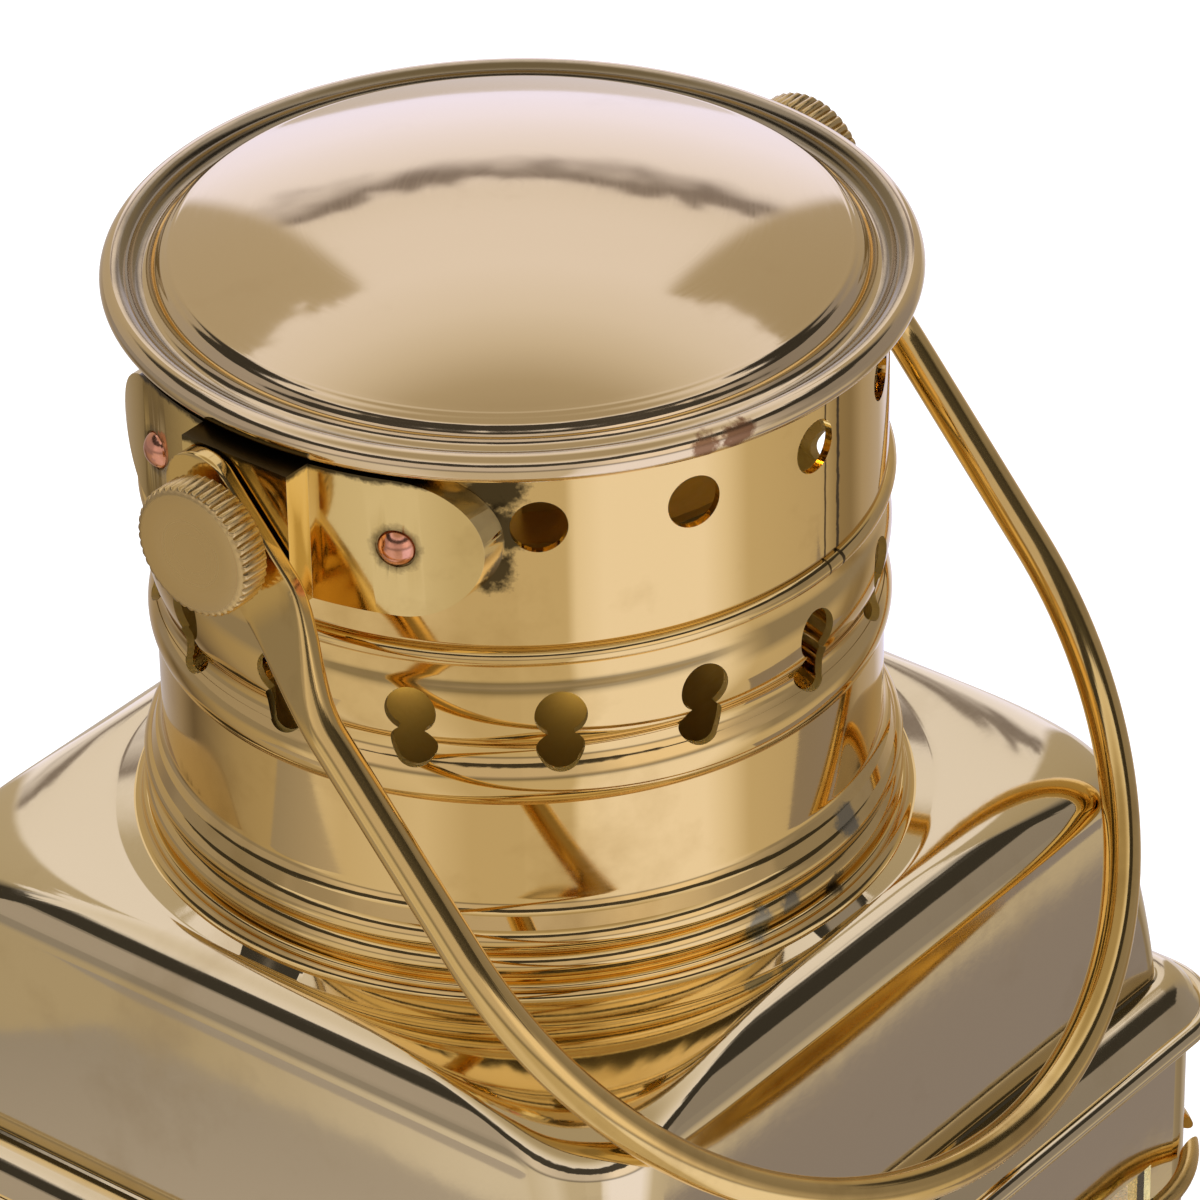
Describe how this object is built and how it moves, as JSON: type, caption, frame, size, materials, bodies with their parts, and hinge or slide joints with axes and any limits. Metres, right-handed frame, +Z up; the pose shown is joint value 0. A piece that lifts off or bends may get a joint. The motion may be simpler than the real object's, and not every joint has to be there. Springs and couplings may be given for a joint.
{
  "type": "brass oil lantern",
  "caption": "Square glazed brass oil lantern with a domed roof, round vented chimney, folding bail, hinged door and a lift-out font and burner.",
  "frame": {"origin": "centre of the flat face that the lantern stands on", "axes": "+Z up, X along the bail's pivot axis, +Y towards the door; the folded bail lies on the -Y side"},
  "size_m": [0.138, 0.1479, 0.2935],
  "materials": {
    "polished_brass": "mirror-polished spun and pressed sheet brass",
    "satin_brass": "satin sheet brass",
    "cast_brass": "filed and buffed brass strap, tarnished in its recesses",
    "turned_brass": "turned and knurled brass, dull face",
    "drawn_brass": "drawn brass rod, satin",
    "copper_rivet": "domed copper rivet heads",
    "clear_glass": "clear flat and blown glass",
    "cotton_wick": "woven flat cotton"
  },
  "bodies": {
    "lantern": {"base_skirt": "polished_brass", "base_floor": "satin_brass", "body_frame": "polished_brass", "window_glass_front": "clear_glass", "window_glass_left": "clear_glass", "window_glass_right": "clear_glass", "glass_bead_front": "satin_brass", "glass_bead_left": "satin_brass", "glass_bead_right": "satin_brass", "guard_rods_front": "satin_brass", "guard_rods_left": "satin_brass", "guard_rods_right": "satin_brass", "eave_moulding": "polished_brass", "roof_hood": "polished_brass", "roof_collar": "polished_brass", "chimney_drum": "polished_brass", "chimney_sleeve": "polished_brass", "chimney_cap": "polished_brass", "draught_tube": "satin_brass", "wind_baffle": "satin_brass", "bail_bracket_left": "cast_brass", "bail_bracket_right": "cast_brass", "bracket_rivets": "copper_rivet", "hinge_leaf_body": "satin_brass", "hinge_pins": "satin_brass", "latch_stud": "satin_brass", "font_ring": "satin_brass"},
    "bail": {"bail": "drawn_brass"},
    "washer_left": {"screw_washer_left": "satin_brass"},
    "washer_right": {"screw_washer_right": "satin_brass"},
    "screw_left": {"thumb_screw_left": "turned_brass"},
    "screw_right": {"thumb_screw_right": "turned_brass"},
    "door": {"door_frame": "polished_brass", "door_glass": "clear_glass", "door_bead": "satin_brass", "door_guard_rods": "satin_brass", "hinge_leaf_door": "satin_brass", "latch_screw": "satin_brass"},
    "latch": {"latch_hook": "cast_brass"},
    "font": {"font_pan": "satin_brass", "font_dome": "satin_brass", "font_neck": "turned_brass", "burner_chamber": "satin_brass", "burner_gallery": "satin_brass", "burner_cone": "satin_brass", "wick_tube": "satin_brass"},
    "filler": {"filler_cap": "turned_brass"},
    "wick_raiser": {"wick_spindle": "turned_brass", "wick_knob": "turned_brass"},
    "wick": {"wick": "cotton_wick"},
    "lamp_glass": {"lamp_glass": "clear_glass"}
  },
  "joints": [
    {"name": "bail_swing", "type": "hinge", "parent": "lantern", "child": "bail", "pos_m": [0, 0, 0.2714], "axis": [-1, 0, 0], "range_deg": [0, 278.4]},
    {"name": "screw_left_travel", "type": "slide", "parent": "lantern", "child": "washer_left", "axis": [-1, 0, 0], "range_m": [0, 0.0016]},
    {"name": "screw_left_turn", "type": "hinge", "parent": "washer_left", "child": "screw_left", "pos_m": [-0.0556, 0, 0.2714], "axis": [-1, 0, 0], "range_deg": [0, 720]},
    {"name": "screw_right_travel", "type": "slide", "parent": "lantern", "child": "washer_right", "axis": [1, 0, 0], "range_m": [0, 0.0016]},
    {"name": "screw_right_turn", "type": "hinge", "parent": "washer_right", "child": "screw_right", "pos_m": [0.0556, 0, 0.2714], "axis": [1, 0, 0], "range_deg": [0, 720]},
    {"name": "door_swing", "type": "hinge", "parent": "lantern", "child": "door", "pos_m": [-0.051, 0.066, 0.066], "axis": [0, 0, 1], "range_deg": [0, 110]},
    {"name": "latch_turn", "type": "hinge", "parent": "door", "child": "latch", "pos_m": [0.0435, 0.0656, 0.066], "axis": [0, -1, 0], "range_deg": [0, 80]},
    {"name": "font_lift", "type": "slide", "parent": "lantern", "child": "font", "axis": [0, 0, 1], "range_m": [0, 0.008]},
    {"name": "filler_lift", "type": "slide", "parent": "font", "child": "filler", "axis": [0, 0, 1], "range_m": [0, 0.008]},
    {"name": "wick_turn", "type": "hinge", "parent": "font", "child": "wick_raiser", "pos_m": [0, 0.0051, 0.0505], "axis": [-1, 0, 0], "range_deg": [-61, 61]},
    {"name": "wick_rise", "type": "slide", "parent": "font", "child": "wick", "axis": [0, 0, 1], "range_m": [-0.0038, 0.0038]},
    {"name": "lamp_glass_lift", "type": "slide", "parent": "font", "child": "lamp_glass", "axis": [0, 0, 1], "range_m": [0, 0.01]}
  ],
  "couplings": [
    {"joint": "screw_left_turn", "follows": "screw_left_travel", "rad_per_m": 7854},
    {"joint": "screw_right_turn", "follows": "screw_right_travel", "rad_per_m": 7854},
    {"joint": "wick_turn", "follows": "wick_rise", "rad_per_m": 277.78}
  ]
}
